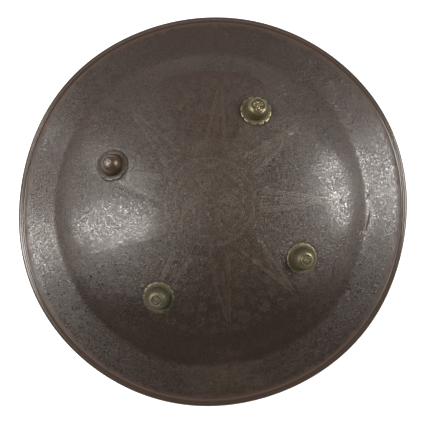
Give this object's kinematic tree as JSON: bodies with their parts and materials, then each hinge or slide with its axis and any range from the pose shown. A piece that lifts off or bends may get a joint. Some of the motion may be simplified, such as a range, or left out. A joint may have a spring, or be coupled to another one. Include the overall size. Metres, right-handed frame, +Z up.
{
  "type": "round shield (dhal)",
  "caption": "Round Indian shield (dhal): low dome of engraved sheet iron with a flared brim, a rolled rim and small bosses; lies face up on its rim.",
  "frame": {"origin": "on the surface the shield lies on, under the middle of its outline", "axes": "+Z up through the crown, away from the hand side; +Y towards the top of the shield as it hangs; +X to its right, seen from the front"},
  "size_m": [0.4766, 0.4802, 0.0693],
  "materials": {
    "russet_iron": "russet-brown patinated sheet iron with a satin sheen, finely engraved with rays and scrolling leaves; fine pitting, rust in the rim's seam",
    "aged_brass": "aged olive brass, brighter on worn edges and dark in the hollows",
    "brown_copper": "brown copper-coloured boss with a bright worn button and a dull flange"
  },
  "bodies": {
    "root": {"shield_body": "russet_iron", "boss_upper_left": "brown_copper", "boss_upper_right": "aged_brass", "boss_lower_right": "aged_brass", "boss_lower_left": "aged_brass"}
  },
  "joints": []
}
